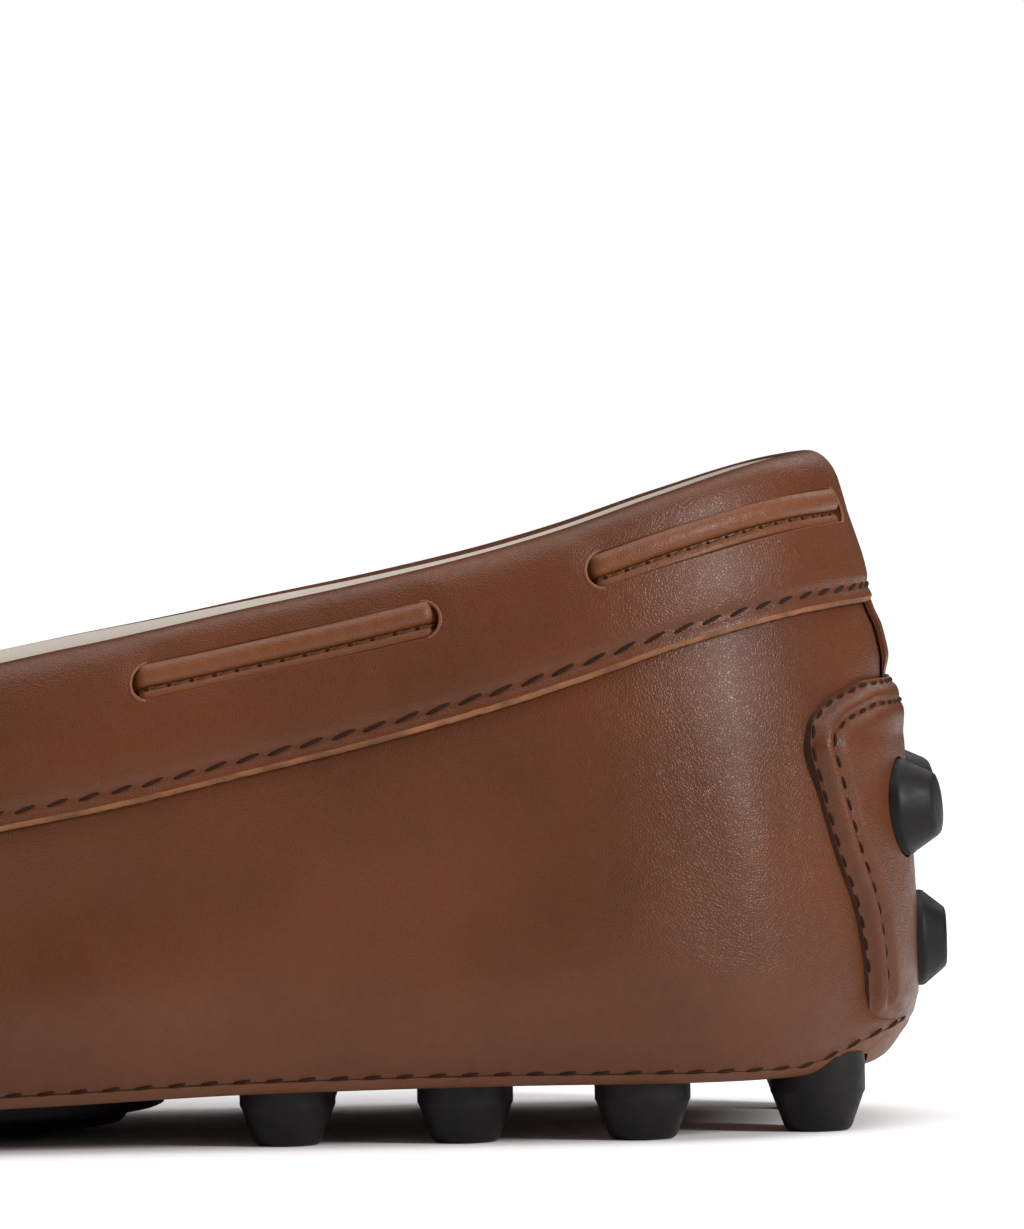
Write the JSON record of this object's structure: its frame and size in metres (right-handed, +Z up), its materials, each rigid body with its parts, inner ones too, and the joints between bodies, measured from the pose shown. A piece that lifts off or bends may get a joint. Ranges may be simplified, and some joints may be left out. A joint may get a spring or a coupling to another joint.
{
  "type": "driving moccasin",
  "caption": "Soft leather driving moccasin, left shoe: laced collar band, raised apron seam, heel patch and a flexible sole of rubber studs.",
  "frame": {"origin": "centre of the bounding box in plan, on the floor that the studs stand on", "axes": "toe towards -Y, heel towards +Y, outer side of the left foot towards +X, +Z up"},
  "size_m": [0.1, 0.284, 0.0667],
  "materials": {
    "upper": "smooth satin calf leather with a fine grain",
    "collar_band": "smooth satin calf leather, folded, with a raw tan lower edge",
    "lace": "folded and stitched leather strip",
    "tongue": "smooth satin calf leather",
    "backstay": "smooth satin calf leather",
    "heel_patch": "smooth satin calf leather with a corded edge",
    "back_studs": "matt black rubber",
    "sole_panel": "satin calf leather",
    "heel_studs": "matt black rubber",
    "forefoot_studs": "matt black rubber",
    "arch_pad": "matt black rubber",
    "insole": "soft pale lining leather"
  },
  "bodies": {
    "root": {"upper": "upper", "collar_band": "collar_band", "lace": "lace", "tongue": "tongue", "backstay": "backstay", "heel_patch": "heel_patch", "back_studs": "back_studs", "sole_panel": "sole_panel", "heel_studs": "heel_studs", "forefoot_studs": "forefoot_studs", "arch_pad": "arch_pad", "insole": "insole"}
  },
  "joints": []
}
